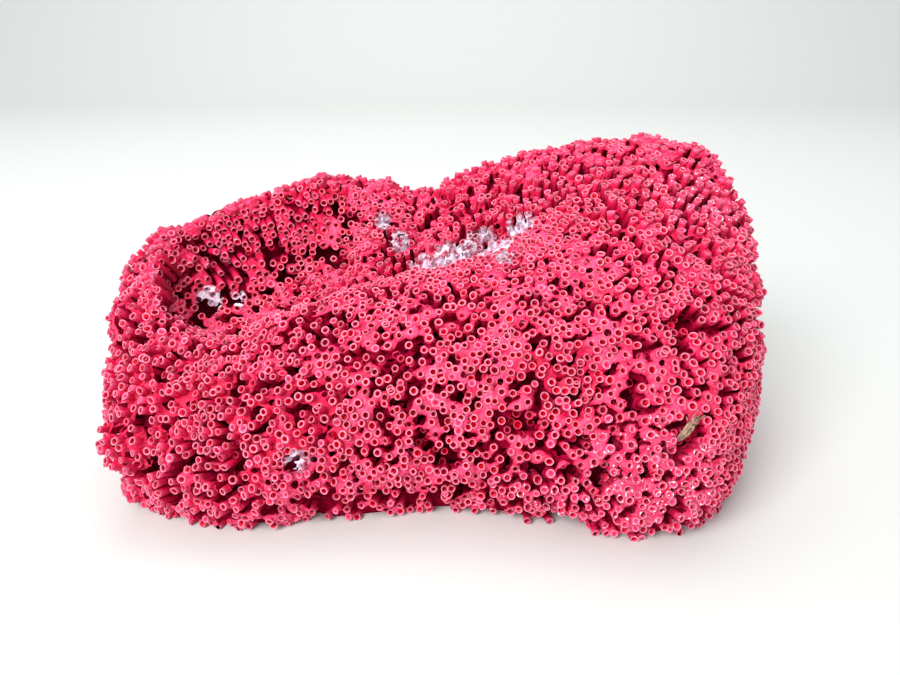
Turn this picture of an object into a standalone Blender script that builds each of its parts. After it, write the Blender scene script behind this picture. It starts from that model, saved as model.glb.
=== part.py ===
"""Organ-pipe coral colony, cut flat at its base, with a scrap of debris lodged between its pipes.

The colony is one grown piece. Its outer form is lofted through measured cross sections, joined with
a few lumps and hollowed in a few places. The surface is then divided into cells, and each cell is
drawn out into a short tapered pipe with an open mouth.
"""

import bmesh
import bpy
import numpy as np
from mathutils import Matrix, Vector, noise

MM = 0.001

# Cross sections from the left end to the right end: x, then (y, z) from the front of the base over
# the top to the back of the base: front base, belly, shoulder, crest, valley, slope, ridge, back, back base.
# All in millimetres. +X is to the right, +Y to the back, +Z up.
SECTIONS = {
    -87: ((-12, 22), (-20, 30), (-19, 38), (-14, 46), (-6, 50), (0, 52), (6, 52), (16, 38), (10, 22)),
    -83: ((-30, 0), (-36, 20), (-26, 37), (-15, 51), (-5, 57), (4, 60), (12, 60), (30, 32), (24, 0)),
    -74: ((-36, 0), (-42, 18), (-34, 36), (-19, 47), (-5, 52), (7, 58), (18, 63), (40, 36), (36, 0)),
    -57: ((-42, 0), (-47, 15), (-38, 32), (-20, 42), (-3, 38), (14, 55), (29, 68), (47, 40), (43, 0)),
    -43: ((-42, 0), (-47, 16), (-38, 34), (-17, 47), (4, 41), (20, 59), (35, 72), (51, 44), (46, 0)),
    -20: ((-39, 0), (-43, 17), (-34, 38), (-11, 53), (9, 46), (22, 60), (35, 72), (52, 42), (48, 0)),
    -4: ((-36, 0), (-42, 18), (-31, 43), (-8, 57), (11, 48), (22, 57), (35, 69), (52, 42), (48, 0)),
    10: ((-36, 0), (-42, 18), (-31, 44), (-8, 59), (11, 54), (22, 65), (35, 77), (52, 44), (48, 0)),
    28: ((-41, 0), (-46, 17), (-35, 43), (-11, 64), (8, 68), (22, 75), (35, 80), (52, 46), (48, 0)),
    47: ((-46, 0), (-50, 16), (-39, 45), (-15, 67), (6, 76), (20, 81), (34, 83), (52, 48), (48, 0)),
    63: ((-43, 0), (-49, 16), (-39, 44), (-16, 67), (5, 77), (19, 82), (34, 84), (52, 50), (46, 0)),
    74: ((-35, 0), (-40, 18), (-32, 43), (-14, 66), (4, 76), (17, 80), (30, 81), (48, 50), (40, 0)),
    82: ((-20, 0), (-27, 20), (-22, 41), (-9, 61), (3, 70), (12, 75), (22, 75), (42, 46), (30, 0)),
    87: ((-4, 22), (-14, 34), (-12, 46), (-4, 55), (4, 61), (11, 64), (18, 62), (28, 46), (20, 22)),
}
LOFT_STEPS_ALONG = 6
LOFT_STEPS_AROUND = 5

# How far the loft runs on below the cut, in millimetres
BASE_DROP = 14

# Lumps joined to the loft and hollows cut from it: centre and radii in millimetres
LUMPS = {
    "left_toe": ((-75, -33, 21), (11, 11, 11)),
    "left_shoulder": ((-74, 0, 49), (12, 14, 11)),
    "ridge_cap_left": ((-58, 27, 60), (9, 8, 8)),
    "ridge_cap_middle": ((-38, 34, 66), (12, 8, 8)),
    "ridge_cap_right": ((-17, 35, 65), (8, 7, 8)),
    "right_hump": ((70, 24, 72), (14, 16, 13)),
    "right_belly": ((74, -18, 32), (11, 12, 12)),
}
HOLLOWS = {
    "left_bowl": ((-64, -6, 56), (10, 10, 18)),
    "valley_left": ((-38, 4, 55), (14, 6, 12)),
    "valley_right": ((4, 11, 63), (17, 6, 14)),
    "base_arch_right": ((33, -42, 0), (5, 7, 5)),
    "base_arch_left": ((-32, -43, 0), (6, 6, 4)),
    "right_cleft": ((90, -13, 45), (8, 5, 6)),
}

REMESH = 2.0 * MM
SMOOTH_TURNS = 5

# Cells that the surface is divided into, counted with the part below the cut
CELL_COUNT = 690
RELAX_TURNS = 10

# A pipe stands on the body, which lies this far inside the outer form
STAND = 2.6 * MM
STAND_SPREAD = 0.9 * MM
MOUTH_DEPTH = 2.4 * MM
TAPER = 0.64
TAPER_SPREAD = 0.05

# Pipes start this far above the cut, and lean no lower than level near it
LOWEST_PIPE = 0.8 * MM
LEVEL_BELOW = 12.0 * MM

# A cell that the cut leaves smaller than the square of this stays flat
SMALLEST_CELL = 3.0 * MM

# Moves the middle of the whole from where the sections place it to the origin
TO_ORIGIN = Vector((0.1, -1.4, 0.0)) * MM

# The lodged fragment: where it lies, its radii and how rough it is
FRAGMENT_PLACE = Vector((58.5, -46.0, 31.0)) * MM
FRAGMENT_RADII = Vector((2.3, 1.9, 1.25)) * MM
FRAGMENT_ROUGHNESS = 0.16
FRAGMENT_GRAIN = 1.7
FRAGMENT_GAP = 0.35 * MM

CORAL_RED = (0.48, 0.045, 0.090, 1.0)
CORAL_ROUGHNESS = 0.6
FRAGMENT_TAN = (0.55, 0.42, 0.26, 1.0)
FRAGMENT_MATT = 0.9


def clear_scene():
    """Remove what the startup scene holds."""
    for obj in list(bpy.data.objects):
        bpy.data.objects.remove(obj, do_unlink=True)


def new_object(name, mesh):
    """Put a mesh into the scene as an object."""
    obj = bpy.data.objects.new(name, mesh)
    bpy.context.collection.objects.link(obj)
    return obj


def finish(obj, colour, roughness):
    """Give the object a plain material of its own."""
    material = bpy.data.materials.new(obj.name)
    material.use_nodes = True
    shader = material.node_tree.nodes["Principled BSDF"]
    shader.inputs["Base Color"].default_value = colour
    shader.inputs["Roughness"].default_value = roughness
    shader.inputs["Metallic"].default_value = 0.0
    obj.data.materials.append(material)


def apply_modifier(obj, kind, **settings):
    """Add a modifier to the object, set it and apply it."""
    bpy.ops.object.select_all(action="DESELECT")
    obj.select_set(True)
    bpy.context.view_layer.objects.active = obj
    modifier = obj.modifiers.new(kind.lower(), kind)
    for name, value in settings.items():
        setattr(modifier, name, value)
    bpy.ops.object.modifier_apply(modifier=modifier.name)


def smooth_through(points, steps):
    """Points on a smooth curve through the given ones, along the first axis of the array."""
    last = len(points) - 1
    out = []
    for i in range(last):
        a, b, c, d = (points[min(max(i + k, 0), last)] for k in (-1, 0, 1, 2))
        for t in np.arange(steps) / steps:
            out.append(0.5 * (2 * b + (c - a) * t + (2 * a - 5 * b + 4 * c - d) * t ** 2
                              + (3 * b - a - 3 * c + d) * t ** 3))
    out.append(points[last])
    return np.array(out)


def lofted_sections():
    """A closed body through the cross sections, running on below the cut."""
    table = [[(x, y, z) for y, z in outline] for x, outline in sorted(SECTIONS.items())]
    rings = smooth_through(np.array(table, float), LOFT_STEPS_ALONG)
    rings = np.array([smooth_through(ring, LOFT_STEPS_AROUND) for ring in rings])
    drop = np.array((0, 0, -BASE_DROP))
    rings = np.concatenate((rings[:, :1] + drop, rings, rings[:, -1:] + drop), axis=1)
    rows, around, _ = rings.shape
    faces = []
    for i in range(rows - 1):
        for j in range(around):
            k = (j + 1) % around
            faces.append((i * around + j, i * around + k, (i + 1) * around + k, (i + 1) * around + j))
    faces.append(tuple(range(around))[::-1])
    faces.append(tuple(range((rows - 1) * around, rows * around)))
    mesh = bpy.data.meshes.new("growth")
    mesh.from_pydata((rings.reshape(-1, 3) * MM).tolist(), [], faces)
    return new_object("growth", mesh)


def ellipsoids(name, table):
    """One object holding an ellipsoid for each entry of the table."""
    bm = bmesh.new()
    for centre, radii in table.values():
        made = bmesh.ops.create_icosphere(bm, subdivisions=3, radius=1.0)
        for vert in made["verts"]:
            vert.co = [MM * (c + r * v) for c, r, v in zip(centre, radii, vert.co)]
    mesh = bpy.data.meshes.new(name)
    bm.to_mesh(mesh)
    bm.free()
    return new_object(name, mesh)


def combine(body, tool, operation):
    """Join the tool to the body or cut it out, and remove the tool."""
    apply_modifier(tool, "REMESH", mode="VOXEL", voxel_size=REMESH)
    apply_modifier(body, "BOOLEAN", operation=operation, object=tool)
    bpy.data.objects.remove(tool)


def growth_surface():
    """The colony's outer form, which the tips of its pipes reach."""
    body = lofted_sections()
    apply_modifier(body, "REMESH", mode="VOXEL", voxel_size=REMESH)
    combine(body, ellipsoids("lumps", LUMPS), "UNION")
    combine(body, ellipsoids("hollows", HOLLOWS), "DIFFERENCE")
    apply_modifier(body, "REMESH", mode="VOXEL", voxel_size=REMESH)
    apply_modifier(body, "SMOOTH", factor=0.5, iterations=SMOOTH_TURNS)
    return body


def mesh_arrays(obj):
    """Vertex places, vertex normals and triangles of the object's mesh."""
    mesh = obj.data
    places = np.empty(len(mesh.vertices) * 3)
    mesh.vertices.foreach_get("co", places)
    normals = np.empty(len(mesh.vertices) * 3)
    mesh.vertex_normals.foreach_get("vector", normals)
    mesh.calc_loop_triangles()
    triangles = np.empty(len(mesh.loop_triangles) * 3, np.int32)
    mesh.loop_triangles.foreach_get("vertices", triangles)
    return places.reshape(-1, 3), normals.reshape(-1, 3), triangles.reshape(-1, 3)


def nearest_seed(places, seeds):
    """Which seed each place lies nearest to."""
    distance = (seeds ** 2).sum(1) - 2 * places @ seeds.T
    return distance.argmin(1)


def relaxed_seeds(places, rng):
    """Seeds spread evenly over the surface, each at the middle of the places nearest to it."""
    seeds = places[rng.choice(len(places), CELL_COUNT, replace=False)]
    for _ in range(RELAX_TURNS):
        owner = nearest_seed(places, seeds)
        held = np.bincount(owner, minlength=CELL_COUNT)
        for axis in range(3):
            total = np.bincount(owner, places[:, axis], CELL_COUNT)
            seeds[:, axis] = np.where(held > 0, total / np.maximum(held, 1), seeds[:, axis])
    return seeds


def cell_outlines(places, normals, triangles, rng):
    """Divide the surface into cells.

    Returns:
        The corners shared by the cells, each cell's ring of corner numbers, anticlockwise from
        outside, and each cell's outward direction.
    """
    seeds = relaxed_seeds(places, rng)
    under_fragment = nearest_seed(np.array([FRAGMENT_PLACE]), seeds)[0]
    seeds[under_fragment] = FRAGMENT_PLACE
    owner = nearest_seed(places, seeds)
    owners = owner[triangles]
    meeting = (owners[:, 0] != owners[:, 1]) & (owners[:, 1] != owners[:, 2]) & (owners[:, 0] != owners[:, 2])
    corners = places[triangles[meeting]].mean(1)
    rings = [[] for _ in seeds]
    for corner, cells in enumerate(owners[meeting]):
        for cell in cells:
            rings[cell].append(corner)
    directions = []
    for cell, ring in enumerate(rings):
        middle = Vector(corners[ring].mean(0))
        direction = Vector(normals[owner == cell].sum(0)).normalized()
        side = direction.orthogonal().normalized()
        front = direction.cross(side)
        spokes = [Vector(corners[corner]) - middle for corner in ring]
        angles = np.arctan2([spoke.dot(front) for spoke in spokes], [spoke.dot(side) for spoke in spokes])
        rings[cell] = [ring[k] for k in np.argsort(angles)]
        directions.append(direction)
    return corners, rings, directions


def draw_out_pipe(bm, face, direction, rng):
    """Draw a cell out into a tapered pipe with an open mouth."""
    middle = face.calc_center_median()
    if middle.z < LEVEL_BELOW:
        direction = Vector((direction.x, direction.y, max(direction.z, 0.0))).normalized()
    height = STAND + rng.uniform(-1, 1) * STAND_SPREAD
    taper = TAPER + rng.uniform(-1, 1) * TAPER_SPREAD
    top = bmesh.ops.extrude_discrete_faces(bm, faces=[face])["faces"][0]
    for vert in top.verts:
        spoke = (vert.co - middle) * taper
        spoke -= direction * spoke.dot(direction)
        vert.co = middle + spoke + direction * height
    top.normal_update()
    bmesh.ops.poke(bm, faces=[top], offset=-MOUTH_DEPTH)


def slice_level(bm, level, clear_inner=False):
    """Cut the mesh along a level plane, and remove what is below it if asked."""
    bmesh.ops.bisect_plane(bm, geom=bm.verts[:] + bm.edges[:] + bm.faces[:], clear_inner=clear_inner,
                           plane_co=(0, 0, level), plane_no=(0, 0, 1))


def holds_pipe(cell):
    """Whether a cell is high enough above the cut and wide enough for a pipe."""
    lowest = min(vert.co.z for vert in cell.verts)
    return lowest > 0.99 * LOWEST_PIPE and cell.calc_area() > SMALLEST_CELL ** 2


def coral_colony(rng):
    """The colony: a body of cells cut flat below, its pipes, and a bare cell for the fragment."""
    growth = growth_surface()
    places, normals, triangles = mesh_arrays(growth)
    bpy.data.objects.remove(growth)
    corners, rings, directions = cell_outlines(places - normals * STAND, normals, triangles, rng)
    bm = bmesh.new()
    number = bm.faces.layers.int.new("cell")
    verts = [bm.verts.new(corner) for corner in corners]
    for cell, ring in enumerate(rings):
        bm.faces.new([verts[corner] for corner in ring])[number] = cell
    slice_level(bm, 0.0, clear_inner=True)
    slice_level(bm, LOWEST_PIPE)
    base_edges = [edge for edge in bm.edges if edge.is_boundary]
    bm.normal_update()
    bare = min(bm.faces, key=lambda cell: (cell.calc_center_median() - FRAGMENT_PLACE).length)
    seat = bare.calc_center_median(), directions[bare[number]]
    for cell in bm.faces[:]:
        if cell is not bare and holds_pipe(cell):
            draw_out_pipe(bm, cell, directions[cell[number]], rng)
    bmesh.ops.edgeloop_fill(bm, edges=base_edges)
    bmesh.ops.triangulate(bm, faces=bm.faces[:])
    bmesh.ops.recalc_face_normals(bm, faces=bm.faces[:])
    mesh = bpy.data.meshes.new("coral_colony")
    bm.to_mesh(mesh)
    bm.free()
    colony = new_object("coral_colony", mesh)
    finish(colony, CORAL_RED, CORAL_ROUGHNESS)
    return colony, seat


def lodged_fragment(seat):
    """A rough scrap lying on the bare cell."""
    floor, direction = seat
    bm = bmesh.new()
    bmesh.ops.create_icosphere(bm, subdivisions=2, radius=1.0)
    turn = direction.to_track_quat("Z", "Y")
    middle = floor + direction * (FRAGMENT_RADII.z + FRAGMENT_GAP)
    for vert in bm.verts:
        swell = 1.0 + FRAGMENT_ROUGHNESS * noise.noise(vert.co * FRAGMENT_GRAIN)
        vert.co = middle + turn @ (vert.co * swell * FRAGMENT_RADII)
    mesh = bpy.data.meshes.new("lodged_fragment")
    bm.to_mesh(mesh)
    bm.free()
    fragment = new_object("lodged_fragment", mesh)
    finish(fragment, FRAGMENT_TAN, FRAGMENT_MATT)
    return fragment


def main():
    """Build the colony and the fragment."""
    clear_scene()
    rng = np.random.default_rng(7)
    colony, seat = coral_colony(rng)
    fragment = lodged_fragment(seat)
    for obj in (colony, fragment):
        obj.data.transform(Matrix.Translation(TO_ORIGIN))


if __name__ == "__main__":
    main()
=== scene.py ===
"""Looks of an organ-pipe coral colony: thin-walled pipes by the thousand, joined by thin platforms.

The colony's outer form is lofted through its cross sections, as the solid is. Pipes are spread evenly
over it, and each leans between the surface's own direction and the direction of growth from the base.
One thin perforated sheet joins them near their mouths, and another lower down. Where the upper sheet is
worn away, the pipes stand bare over the lower one and over a floor of older growth painted dark as shade.

Lengths are in millimetres, but the finishes and the studio count in metres.
"""

import logging
import math
from collections.abc import Callable, Iterable, Iterator
from contextlib import contextmanager
from dataclasses import dataclass, field
from enum import Enum

import bmesh
import bpy
import numpy as np
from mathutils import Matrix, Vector, kdtree, noise

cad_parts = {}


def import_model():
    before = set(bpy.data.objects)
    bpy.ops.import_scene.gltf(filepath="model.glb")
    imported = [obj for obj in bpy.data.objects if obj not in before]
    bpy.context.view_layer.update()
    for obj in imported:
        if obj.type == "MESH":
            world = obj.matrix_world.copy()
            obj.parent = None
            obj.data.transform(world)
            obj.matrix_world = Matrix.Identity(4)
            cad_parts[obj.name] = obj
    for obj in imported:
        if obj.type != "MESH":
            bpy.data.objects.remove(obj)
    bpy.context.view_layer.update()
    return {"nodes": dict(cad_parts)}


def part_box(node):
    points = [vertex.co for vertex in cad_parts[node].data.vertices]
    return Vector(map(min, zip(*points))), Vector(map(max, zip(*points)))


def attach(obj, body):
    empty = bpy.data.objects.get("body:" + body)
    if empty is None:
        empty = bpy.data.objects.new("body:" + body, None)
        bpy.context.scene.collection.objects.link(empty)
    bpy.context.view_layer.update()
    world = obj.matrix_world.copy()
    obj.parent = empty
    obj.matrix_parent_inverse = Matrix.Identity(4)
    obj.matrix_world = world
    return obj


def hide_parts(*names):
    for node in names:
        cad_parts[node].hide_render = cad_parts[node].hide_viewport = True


MM = 0.001
SEED = 11
BODY = "root"
COLONY_NODE = "coral_colony"
FRAGMENT_NODE = "lodged_fragment"

# Moves the growth frame, in which the cross sections are given, to the part's own frame, in millimetres
TO_ORIGIN = np.array((0.1, -1.4, 0.0))

# Edges that turn by more than this are shaded sharp
SHARP_ANGLE = math.radians(70)

log = logging.getLogger("coral")

Array = np.ndarray
Socket = bpy.types.NodeSocket
Triple = tuple[float, float, float]
Colour = tuple[float, float, float, float]


class Mouth(Enum):
    """How a pipe ends: open, or grown over by a thin lid."""

    OPEN = "open"
    LIDDED = "lidded"


def smoothstep(low: float, high: float, value: Array) -> Array:
    """Ease from 0 at low to 1 at high.

    Args:
        low: Value at which the result is 0.
        high: Value at which the result is 1.
        value: Values to ease.

    Returns:
        The eased values, between 0 and 1.
    """
    t = np.clip((value - low) / (high - low), 0.0, 1.0)
    return t * t * (3.0 - 2.0 * t)


def unit(vectors: Array) -> Array:
    """Vectors scaled to a length of one."""
    return vectors / np.maximum(np.linalg.norm(vectors, axis=-1, keepdims=True), 1e-9)


def lumpiness(places: Array, scale: float, shift: float, octaves: int = 2) -> Array:
    """Smooth random values over space, about -1 to 1.

    Args:
        places: Points, in millimetres.
        scale: Size of the lumps, in millimetres.
        shift: Which of many such fields is meant.
        octaves: How many finer layers are added.

    Returns:
        One value for each point.
    """
    offset = Vector((shift, shift * 1.7, -shift))
    return np.array([noise.fractal(Vector(p) / scale + offset, 1.0, 2.1, octaves) for p in places])


def linked(name: str, data: bpy.types.ID) -> bpy.types.Object:
    """Show the data in the scene.

    Args:
        name: Name of the new object.
        data: Its mesh, lamp or camera.

    Returns:
        The object.
    """
    obj = bpy.data.objects.new(name, data)
    bpy.context.collection.objects.link(obj)
    return obj


def added(primitive: Callable, **settings: object) -> bpy.types.Object:
    """Add a primitive, which is then the only selected object.

    Args:
        primitive: The operator that adds it.
        settings: What the operator takes.

    Returns:
        The object.
    """
    bpy.ops.object.select_all(action="DESELECT")
    primitive(**settings)
    return bpy.context.active_object


@contextmanager
def editing(select: str = "SELECT") -> Iterator[None]:
    """Edit mode on the active object.

    Args:
        select: Whether all of its mesh is selected there, or with DESELECT none of it.
    """
    bpy.ops.object.mode_set(mode="EDIT")
    bpy.ops.mesh.select_all(action=select)
    yield
    bpy.ops.object.mode_set(mode="OBJECT")


def activate(*objects: bpy.types.Object) -> None:
    """Select these objects alone and make the first one active."""
    bpy.ops.object.select_all(action="DESELECT")
    for obj in objects:
        obj.select_set(True)
    bpy.context.view_layer.objects.active = objects[0]


def apply_modifier(obj: bpy.types.Object, kind: str, **settings: object) -> None:
    """Add a modifier to an object and apply it.

    Args:
        obj: The object.
        kind: Type of the modifier.
        settings: What is set on it.
    """
    activate(obj)
    modifier = obj.modifiers.new(kind.lower(), kind)
    for name, value in settings.items():
        setattr(modifier, name, value)
    bpy.ops.object.modifier_apply(modifier=modifier.name)


def mesh_arrays(obj: bpy.types.Object) -> tuple[Array, Array, Array]:
    """Read an object's mesh.

    Args:
        obj: The object.

    Returns:
        The vertices' places in millimetres, their normals, and the triangles' vertex numbers.
    """
    mesh = obj.data
    places = np.empty(len(mesh.vertices) * 3)
    mesh.vertices.foreach_get("co", places)
    normals = np.empty(len(mesh.vertices) * 3)
    mesh.vertex_normals.foreach_get("vector", normals)
    mesh.calc_loop_triangles()
    triangles = np.empty(len(mesh.loop_triangles) * 3, np.int32)
    mesh.loop_triangles.foreach_get("vertices", triangles)
    return places.reshape(-1, 3) / MM, normals.reshape(-1, 3), triangles.reshape(-1, 3)


def renumbered(faces: Array) -> tuple[Array, Array]:
    """The vertices that faces use, and the faces with their vertices numbered among those alone."""
    used, numbers = np.unique(faces, return_inverse=True)
    return used, numbers.reshape(faces.shape)


def add_attribute(mesh: bpy.types.Mesh, name: str, values: Array) -> None:
    """Store one number for each vertex under a name."""
    layer = mesh.attributes.new(name, "FLOAT", "POINT")
    layer.data.foreach_set("value", np.asarray(values, np.float32))


@dataclass
class GrowthForm:
    """The colony's outer form, which the tips of its pipes reach.

    Sections give, for an x, the (y, z) points from the front of the base over the top to the back of
    the base: front base, belly, shoulder, crest, valley, slope, ridge, back, back base.
    """

    sections: dict[float, tuple] = field(default_factory=lambda: {
        -87: ((-12, 22), (-20, 30), (-19, 38), (-14, 46), (-6, 50), (0, 52), (6, 52), (16, 38), (10, 22)),
        -83: ((-30, 0), (-36, 20), (-26, 37), (-15, 51), (-5, 57), (4, 60), (12, 60), (30, 32), (24, 0)),
        -74: ((-36, 0), (-42, 18), (-34, 36), (-19, 47), (-5, 52), (7, 58), (18, 63), (40, 36), (36, 0)),
        -57: ((-42, 0), (-47, 15), (-38, 32), (-20, 42), (-3, 38), (14, 55), (29, 68), (47, 40), (43, 0)),
        -43: ((-42, 0), (-47, 16), (-38, 34), (-17, 47), (4, 41), (20, 59), (35, 72), (51, 44), (46, 0)),
        -20: ((-39, 0), (-43, 17), (-34, 38), (-11, 53), (9, 46), (22, 60), (35, 72), (52, 42), (48, 0)),
        -4: ((-36, 0), (-42, 18), (-31, 43), (-8, 57), (11, 48), (22, 57), (35, 69), (52, 42), (48, 0)),
        10: ((-36, 0), (-42, 18), (-31, 44), (-8, 59), (11, 54), (22, 65), (35, 77), (52, 44), (48, 0)),
        28: ((-41, 0), (-46, 17), (-35, 43), (-11, 64), (8, 68), (22, 75), (35, 80), (52, 46), (48, 0)),
        47: ((-46, 0), (-50, 16), (-39, 45), (-15, 67), (6, 76), (20, 81), (34, 83), (52, 48), (48, 0)),
        63: ((-43, 0), (-49, 16), (-39, 44), (-16, 67), (5, 77), (19, 82), (34, 84), (52, 50), (46, 0)),
        74: ((-35, 0), (-40, 18), (-32, 43), (-14, 66), (4, 76), (17, 80), (30, 81), (48, 50), (40, 0)),
        82: ((-20, 0), (-27, 20), (-22, 41), (-9, 61), (3, 70), (12, 75), (22, 75), (42, 46), (30, 0)),
        87: ((-4, 22), (-14, 34), (-12, 46), (-4, 55), (4, 61), (11, 64), (18, 62), (28, 46), (20, 22)),
    })
    lumps: dict[str, tuple] = field(default_factory=lambda: {
        "left_toe": ((-75, -33, 21), (11, 11, 11)),
        "left_shoulder": ((-74, 0, 49), (12, 14, 11)),
        "ridge_cap_left": ((-58, 27, 60), (9, 8, 8)),
        "ridge_cap_middle": ((-38, 34, 66), (12, 8, 8)),
        "ridge_cap_right": ((-17, 35, 65), (8, 7, 8)),
        "right_hump": ((70, 24, 72), (14, 16, 13)),
        "right_belly": ((74, -18, 32), (11, 12, 12)),
    })
    hollows: dict[str, tuple] = field(default_factory=lambda: {
        "left_bowl": ((-64, -6, 56), (10, 10, 18)),
        "valley_left": ((-38, 4, 55), (14, 6, 12)),
        "valley_right": ((4, 11, 63), (17, 6, 14)),
        "base_arch_right": ((33, -42, 0), (5, 7, 5)),
        "base_arch_left": ((-32, -43, 0), (6, 6, 4)),
        "right_cleft": ((90, -13, 45), (8, 5, 6)),
    })
    loft_steps_along: int = 6
    loft_steps_around: int = 5
    base_drop: float = 14.0
    voxel: float = 2.0
    smooth_turns: int = 5

    @staticmethod
    def smooth_through(points: Array, steps: int) -> Array:
        """Points on a smooth curve through the given ones, along the first axis of the array.

        Args:
            points: The points to pass through.
            steps: Points made for each span.

        Returns:
            The points of the curve.
        """
        last = len(points) - 1
        out = []
        for i in range(last):
            a, b, c, d = (points[min(max(i + k, 0), last)] for k in (-1, 0, 1, 2))
            for t in np.arange(steps) / steps:
                out.append(0.5 * (2 * b + (c - a) * t + (2 * a - 5 * b + 4 * c - d) * t ** 2
                                  + (3 * b - a - 3 * c + d) * t ** 3))
        out.append(points[last])
        return np.array(out)

    def loft(self) -> bpy.types.Object:
        """Loft through the cross sections.

        Returns:
            A closed body, which runs on below the cut.
        """
        table = [[(x, y, z) for y, z in outline] for x, outline in sorted(self.sections.items())]
        rings = self.smooth_through(np.array(table, float), self.loft_steps_along)
        rings = np.array([self.smooth_through(ring, self.loft_steps_around) for ring in rings])
        drop = np.array((0, 0, -self.base_drop))
        rings = np.concatenate((rings[:, :1] + drop, rings, rings[:, -1:] + drop), axis=1)
        rows, around, _ = rings.shape
        faces = []
        for i in range(rows - 1):
            for j in range(around):
                k = (j + 1) % around
                faces.append((i * around + j, i * around + k, (i + 1) * around + k, (i + 1) * around + j))
        faces.append(tuple(range(around))[::-1])
        faces.append(tuple(range((rows - 1) * around, rows * around)))
        mesh = bpy.data.meshes.new("growth")
        mesh.from_pydata((rings.reshape(-1, 3) * MM).tolist(), [], faces)
        return linked("growth", mesh)

    def ellipsoids(self, name: str, table: dict[str, tuple]) -> bpy.types.Object:
        """Make several ellipsoids as one object.

        Args:
            name: Name of the object.
            table: The middle and the radii of each ellipsoid, in millimetres.

        Returns:
            The object.
        """
        bm = bmesh.new()
        for centre, radii in table.values():
            made = bmesh.ops.create_icosphere(bm, subdivisions=3, radius=1.0)
            for vert in made["verts"]:
                vert.co = [MM * (c + r * v) for c, r, v in zip(centre, radii, vert.co)]
        mesh = bpy.data.meshes.new(name)
        bm.to_mesh(mesh)
        bm.free()
        obj = linked(name, mesh)
        apply_modifier(obj, "REMESH", mode="VOXEL", voxel_size=self.voxel * MM)
        return obj

    def build(self) -> bpy.types.Object:
        """Join the lumps to the loft and cut the hollows.

        Returns:
            The whole form.
        """
        body = self.loft()
        apply_modifier(body, "REMESH", mode="VOXEL", voxel_size=self.voxel * MM)
        steps = (("lumps", self.lumps, "UNION"), ("hollows", self.hollows, "DIFFERENCE"))
        for name, table, operation in steps:
            tool = self.ellipsoids(name, table)
            apply_modifier(body, "BOOLEAN", operation=operation, object=tool)
            bpy.data.objects.remove(tool)
        apply_modifier(body, "REMESH", mode="VOXEL", voxel_size=self.voxel * MM)
        apply_modifier(body, "SMOOTH", factor=0.5, iterations=self.smooth_turns)
        return body


@dataclass
class SurfaceSamples:
    """Points spread at random over the part of a form above the cut."""

    places: Array
    normals: Array

    @classmethod
    def scatter(cls, form: bpy.types.Object, count: int, lowest: float,
                rng: np.random.Generator) -> "SurfaceSamples":
        """Scatter points over a form.

        Args:
            form: The form, with its mesh in place.
            count: How many points are made before the low ones are dropped.
            lowest: Lowest z that is kept, in millimetres.
            rng: Source of randomness.

        Returns:
            The samples.
        """
        places, normals, triangles = mesh_arrays(form)
        corner = places[triangles]
        area = np.linalg.norm(np.cross(corner[:, 1] - corner[:, 0], corner[:, 2] - corner[:, 0]), axis=1)
        area[corner[:, :, 2].max(1) < lowest] = 0.0
        chosen = rng.choice(len(triangles), count, p=area / area.sum())
        a, b = rng.random((2, count, 1))
        over = a + b > 1.0
        a, b = np.where(over, 1.0 - a, a), np.where(over, 1.0 - b, b)
        weights = np.stack((1.0 - a - b, a, b), axis=1)
        out = (corner[chosen] * weights).sum(1)
        facing = unit((normals[triangles[chosen]] * weights).sum(1))
        kept = out[:, 2] > lowest
        return cls(out[kept], facing[kept])

    def spread(self, count: int, turns: int, rng: np.random.Generator) -> Array:
        """Numbers of samples that lie evenly spread over the surface.

        Args:
            count: How many are wanted.
            turns: How often each is moved to the middle of the samples nearest to it.
            rng: Source of randomness.

        Returns:
            The chosen samples' numbers.
        """
        seeds = self.places[rng.choice(len(self.places), count, replace=False)]
        for _ in range(turns):
            tree = point_tree(seeds)
            owner = np.array([tree.find(p)[1] for p in self.places])
            held = np.maximum(np.bincount(owner, minlength=count), 1)
            seeds = np.stack([np.bincount(owner, self.places[:, k], count) / held for k in range(3)], axis=1)
        tree = point_tree(self.places)
        return np.unique([tree.find(p)[1] for p in seeds])


def point_tree(places: Array) -> kdtree.KDTree:
    """Sort points so that the nearest ones to a place are found fast.

    Args:
        places: The points.

    Returns:
        The tree that finds them.
    """
    tree = kdtree.KDTree(len(places))
    for index, place in enumerate(places):
        tree.insert(place, index)
    tree.balance()
    return tree


@dataclass(frozen=True)
class Spot:
    """A place on the colony with a reach, both in millimetres in the growth frame."""

    place: Triple
    reach: float


@dataclass(frozen=True)
class Drift:
    """A place round which the pipes lean another way than the growth around them."""

    place: Triple
    reach: float
    direction: Triple


def spots(*table: tuple[float, float, float, float]) -> tuple[Spot, ...]:
    """Spots, each given as its x, y, z and reach."""
    return tuple(Spot(entry[:3], entry[3]) for entry in table)


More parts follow.
